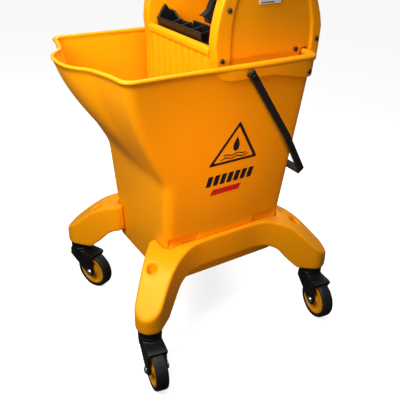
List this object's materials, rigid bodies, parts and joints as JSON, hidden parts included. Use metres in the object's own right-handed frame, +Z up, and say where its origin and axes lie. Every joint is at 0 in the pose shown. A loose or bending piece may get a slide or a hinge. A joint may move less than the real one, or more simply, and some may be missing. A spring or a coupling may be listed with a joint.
{
  "type": "mop bucket with wringer",
  "caption": "Wheeled mop bucket with a pouring lip, spread leg frames on swivel castors, a drop bail and a lever-operated press wringer standing on the rear rim.",
  "frame": {"origin": "on the floor, under the centre of the object's box", "axes": "+Z up; +X is the right-hand, lever side, with the warning panel; -Y is the pouring end and +Y the wringer end"},
  "size_m": [0.4416, 0.4387, 0.9344],
  "materials": {
    "yellow_plastic": "moulded polypropylene, warm yellow, semi-gloss",
    "black_plastic": "moulded black nylon, satin",
    "tyre_rubber": "dark grey rubber tread",
    "wheel_plastic": "moulded orange-yellow wheel centre",
    "bright_steel": "zinc-plated steel",
    "grip_rubber": "ribbed black grip",
    "label_white": "plain white data plate with grey bars"
  },
  "bodies": {
    "chassis": {"bucket": "yellow_plastic", "leg_frame_right": "yellow_plastic", "leg_frame_left": "yellow_plastic", "bail_pin_right": "black_plastic", "bail_pin_left": "black_plastic", "side_frame_right": "yellow_plastic", "side_frame_left": "yellow_plastic", "front_plate": "yellow_plastic", "back_plate": "yellow_plastic", "rear_cover": "yellow_plastic", "drain_grate": "yellow_plastic", "label_plate": "label_white", "jaw_hinge_rod": "bright_steel", "shaft_bush_right": "black_plastic", "shaft_bush_left": "black_plastic", "return_spring": "bright_steel", "panel_screw_right_1": "bright_steel", "panel_screw_right_2": "bright_steel", "panel_screw_right_3": "bright_steel", "panel_screw_right_4": "bright_steel", "skirt_screw_right": "bright_steel", "panel_screw_left_1": "bright_steel", "panel_screw_left_2": "bright_steel", "panel_screw_left_3": "bright_steel", "panel_screw_left_4": "bright_steel", "skirt_screw_left": "bright_steel", "castor_front_right_stem": "bright_steel", "castor_front_left_stem": "bright_steel", "castor_rear_right_stem": "bright_steel", "castor_rear_left_stem": "bright_steel"},
    "swivel_front_right": {"castor_front_right_fork": "black_plastic", "castor_front_right_axle_bolt": "bright_steel"},
    "wheel_front_right": {"castor_front_right_wheel_core": "wheel_plastic", "castor_front_right_tyre": "tyre_rubber"},
    "swivel_front_left": {"castor_front_left_fork": "black_plastic", "castor_front_left_axle_bolt": "bright_steel"},
    "wheel_front_left": {"castor_front_left_wheel_core": "wheel_plastic", "castor_front_left_tyre": "tyre_rubber"},
    "swivel_rear_right": {"castor_rear_right_fork": "black_plastic", "castor_rear_right_axle_bolt": "bright_steel"},
    "wheel_rear_right": {"castor_rear_right_wheel_core": "wheel_plastic", "castor_rear_right_tyre": "tyre_rubber"},
    "swivel_rear_left": {"castor_rear_left_fork": "black_plastic", "castor_rear_left_axle_bolt": "bright_steel"},
    "wheel_rear_left": {"castor_rear_left_wheel_core": "wheel_plastic", "castor_rear_left_tyre": "tyre_rubber"},
    "bail": {"bail": "black_plastic", "bail_grip": "grip_rubber"},
    "lever": {"drive_shaft": "bright_steel", "press_arm": "black_plastic", "press_pin": "bright_steel", "lever_socket": "black_plastic", "lever_tube": "bright_steel", "lever_grip": "grip_rubber", "lever_bolt": "bright_steel"},
    "jaw": {"press_jaw": "black_plastic", "jaw_channel": "black_plastic"}
  },
  "joints": [
    {"name": "castor_front_right_swivel", "type": "hinge", "parent": "chassis", "child": "swivel_front_right", "pos_m": [0.15, -0.1546, 0.09], "axis": [0, 0, 1], "continuous": true},
    {"name": "castor_front_right_roll", "type": "hinge", "parent": "swivel_front_right", "child": "wheel_front_right", "pos_m": [0.18245, -0.16061, 0.0375], "axis": [0.1822, 0.9833, 0], "continuous": true},
    {"name": "castor_front_left_swivel", "type": "hinge", "parent": "chassis", "child": "swivel_front_left", "pos_m": [-0.15, -0.1546, 0.09], "axis": [0, 0, 1], "continuous": true},
    {"name": "castor_front_left_roll", "type": "hinge", "parent": "swivel_front_left", "child": "wheel_front_left", "pos_m": [-0.11971, -0.14149, 0.0375], "axis": [-0.3971, 0.9178, 0], "continuous": true},
    {"name": "castor_rear_right_swivel", "type": "hinge", "parent": "chassis", "child": "swivel_rear_right", "pos_m": [0.15, 0.1954, 0.09], "axis": [0, 0, 1], "continuous": true},
    {"name": "castor_rear_right_roll", "type": "hinge", "parent": "swivel_rear_right", "child": "wheel_rear_right", "pos_m": [0.18267, 0.19075, 0.0375], "axis": [0.1409, 0.99, 0], "continuous": true},
    {"name": "castor_rear_left_swivel", "type": "hinge", "parent": "chassis", "child": "swivel_rear_left", "pos_m": [-0.15, 0.1954, 0.09], "axis": [0, 0, 1], "continuous": true},
    {"name": "castor_rear_left_roll", "type": "hinge", "parent": "swivel_rear_left", "child": "wheel_rear_left", "pos_m": [-0.18267, 0.19075, 0.0375], "axis": [0.1409, -0.99, 0], "continuous": true},
    {"name": "bail_swing", "type": "hinge", "parent": "chassis", "child": "bail", "pos_m": [0, 0.0184, 0.489], "axis": [1, 0, 0], "range_deg": [0, 110]},
    {"name": "lever_pull", "type": "hinge", "parent": "chassis", "child": "lever", "pos_m": [0, 0.0754, 0.648], "axis": [1, 0, 0], "range_deg": [0, 55], "stiffness_Nm_per_rad": 2, "springref_deg": -17.19},
    {"name": "press_swing", "type": "hinge", "parent": "chassis", "child": "jaw", "pos_m": [0, 0.0304, 0.372], "axis": [-1, 0, 0], "range_deg": [0, 34.7]}
  ],
  "couplings": [
    {"joint": "press_swing", "follows": "lever_pull", "ratio": 0.63}
  ]
}
